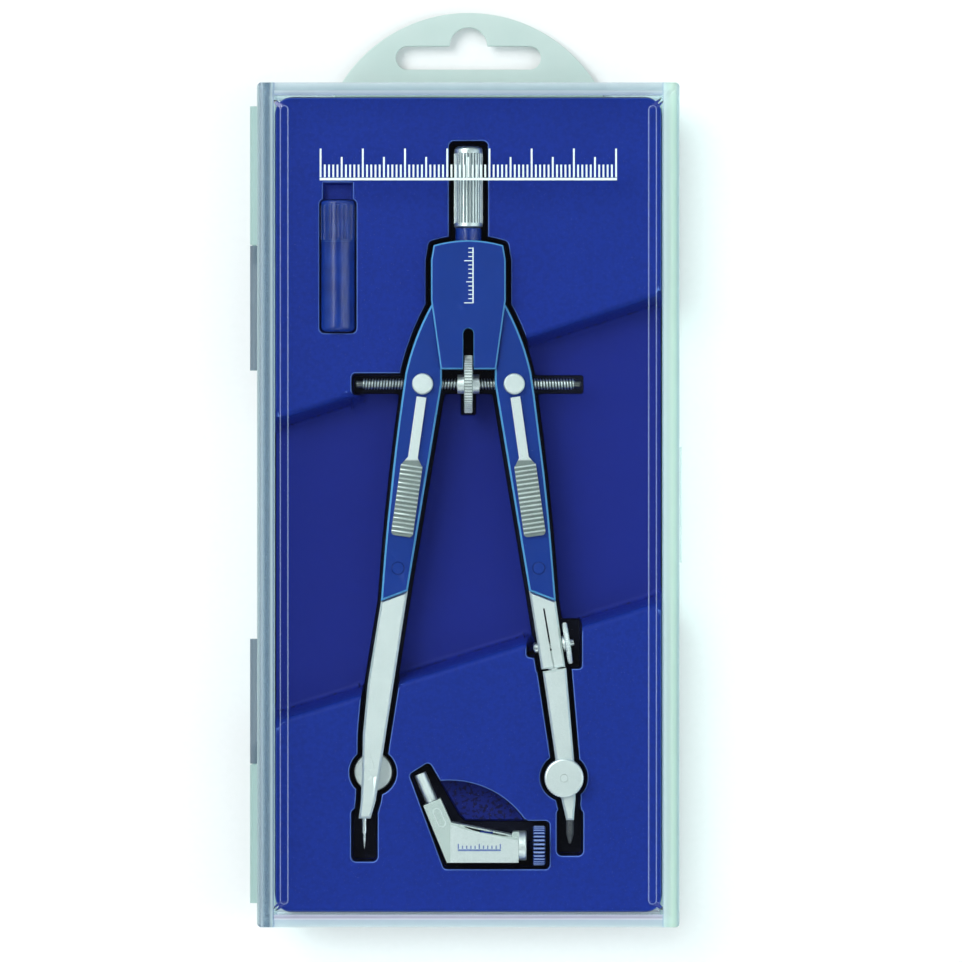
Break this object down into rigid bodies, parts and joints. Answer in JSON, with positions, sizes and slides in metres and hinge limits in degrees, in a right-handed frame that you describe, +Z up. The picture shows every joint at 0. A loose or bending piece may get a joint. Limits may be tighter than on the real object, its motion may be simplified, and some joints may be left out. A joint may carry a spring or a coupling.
{
  "type": "drafting instrument case",
  "caption": "Clear hinged plastic case with a blue moulded insert holding a quick-setting masterbow compass, a lead tube and a pen adapter, and a sliding hang tab.",
  "frame": {"origin": "centre of the base's underside, at the mount base_rest", "axes": "+Z up through the lid, +Y towards the hang tab, +X towards the latch side, -X towards the hinge"},
  "size_m": [0.1029, 0.218, 0.0244],
  "materials": {
    "clear_case": "clear, polished",
    "clear_tab": "translucent, satin",
    "insert_sheet": "thermoformed sheet, fine grain",
    "blue_enamel": "satin enamel",
    "nickel": "satin nickel plate",
    "steel": "bright turned steel",
    "blue_plastic": "moulded, polished",
    "graphite": "ground graphite"
  },
  "bodies": {
    "case": {"case_base": "clear_case", "insert_tray": "insert_sheet", "head_cover": "blue_enamel", "head_body": "blue_enamel", "head_screws": "nickel", "leg_pivot_pins": "nickel", "handle_neck": "nickel", "compass_handle": "nickel", "adapter_body": "nickel", "adapter_pin": "nickel", "adapter_collar": "nickel", "lead_tube": "blue_plastic", "spare_leads": "graphite"},
    "lid": {"case_lid": "clear_case"},
    "tab": {"hang_tab": "clear_tab"},
    "wheel": {"spindle": "steel", "centre_wheel": "nickel"},
    "left_leg": {"left_upper_leg": "blue_enamel", "left_gear_plate": "steel", "left_leg_rivet": "blue_enamel", "left_lower_leg": "nickel", "needle": "steel", "needle_clamp_screw": "nickel"},
    "right_leg": {"right_upper_leg": "blue_enamel", "right_gear_plate": "steel", "right_leg_rivet": "blue_enamel", "lead_socket": "nickel", "socket_clamp_screw": "nickel", "socket_washer": "nickel", "lead_arm": "nickel", "lead": "graphite", "lead_clamp_screw": "nickel"},
    "left_nut": {"left_spindle_nut": "nickel"},
    "right_nut": {"right_spindle_nut": "nickel"},
    "left_lever": {"left_release_lever": "nickel"},
    "right_lever": {"right_release_lever": "nickel"},
    "needle_nut": {"needle_clamp_nut": "nickel"},
    "lead_nut": {"lead_clamp_nut": "nickel"},
    "socket_nut": {"socket_clamp_nut": "nickel"},
    "knob": {"adapter_knob": "blue_plastic"},
    "cap": {"lead_tube_cap": "blue_plastic"}
  },
  "joints": [
    {"name": "lid_hinge", "type": "hinge", "parent": "case", "child": "lid", "pos_m": [-0.0511, 0, 0.012], "axis": [0, -1, 0], "range_deg": [0, 180]},
    {"name": "tab_slide", "type": "slide", "parent": "case", "child": "tab", "axis": [0, -1, 0], "range_m": [0, 0.018]},
    {"name": "wheel_spin", "type": "hinge", "parent": "case", "child": "wheel", "pos_m": [0, 0.02875, 0.0128], "axis": [1, 0, 0], "range_deg": [-70, 70]},
    {"name": "left_leg_swing", "type": "hinge", "parent": "case", "child": "left_leg", "pos_m": [-0.0036, 0.046, 0.0128], "axis": [0, 0, -1], "range_deg": [-0.36, 0.36]},
    {"name": "right_leg_swing", "type": "hinge", "parent": "case", "child": "right_leg", "pos_m": [0.0036, 0.046, 0.0128], "axis": [0, 0, 1], "range_deg": [-0.36, 0.36]},
    {"name": "left_nut_swivel", "type": "hinge", "parent": "left_leg", "child": "left_nut", "pos_m": [-0.0109, 0.02875, 0.0128], "axis": [0, 0, 1], "range_deg": [-0.36, 0.36]},
    {"name": "right_nut_swivel", "type": "hinge", "parent": "right_leg", "child": "right_nut", "pos_m": [0.0109, 0.02875, 0.0128], "axis": [0, 0, -1], "range_deg": [-0.36, 0.36]},
    {"name": "left_lever_slide", "type": "slide", "parent": "left_leg", "child": "left_lever", "axis": [-0.1409, -0.99, 0], "range_m": [0, 0.0015], "stiffness_N_per_m": 300},
    {"name": "right_lever_slide", "type": "slide", "parent": "right_leg", "child": "right_lever", "axis": [0.1409, -0.99, 0], "range_m": [0, 0.0015], "stiffness_N_per_m": 300},
    {"name": "needle_nut_turn", "type": "hinge", "parent": "left_leg", "child": "needle_nut", "pos_m": [-0.02275, -0.0638, 0.0094], "axis": [0, 0, -1], "range_deg": [0, 360]},
    {"name": "lead_nut_turn", "type": "hinge", "parent": "right_leg", "child": "lead_nut", "pos_m": [0.02275, -0.065, 0.0162], "axis": [0, 0, 1], "range_deg": [0, 360]},
    {"name": "socket_nut_turn", "type": "hinge", "parent": "right_leg", "child": "socket_nut", "pos_m": [0.0236, -0.033, 0.0128], "axis": [0.9882, 0.153, 0], "range_deg": [0, 360]},
    {"name": "knob_turn", "type": "hinge", "parent": "case", "child": "knob", "pos_m": [0.0168, -0.0813, 0.012], "axis": [1, 0, 0], "range_deg": [0, 360]},
    {"name": "cap_turn", "type": "hinge", "parent": "case", "child": "cap", "pos_m": [-0.0311, 0.067, 0.012], "axis": [0, 1, 0], "range_deg": [-180, 180]}
  ],
  "couplings": [
    {"joint": "left_leg_swing", "follows": "wheel_spin", "ratio": 0.00506},
    {"joint": "right_leg_swing", "follows": "wheel_spin", "ratio": 0.00506},
    {"joint": "left_nut_swivel", "follows": "wheel_spin", "ratio": 0.00506},
    {"joint": "right_nut_swivel", "follows": "wheel_spin", "ratio": 0.00506}
  ]
}
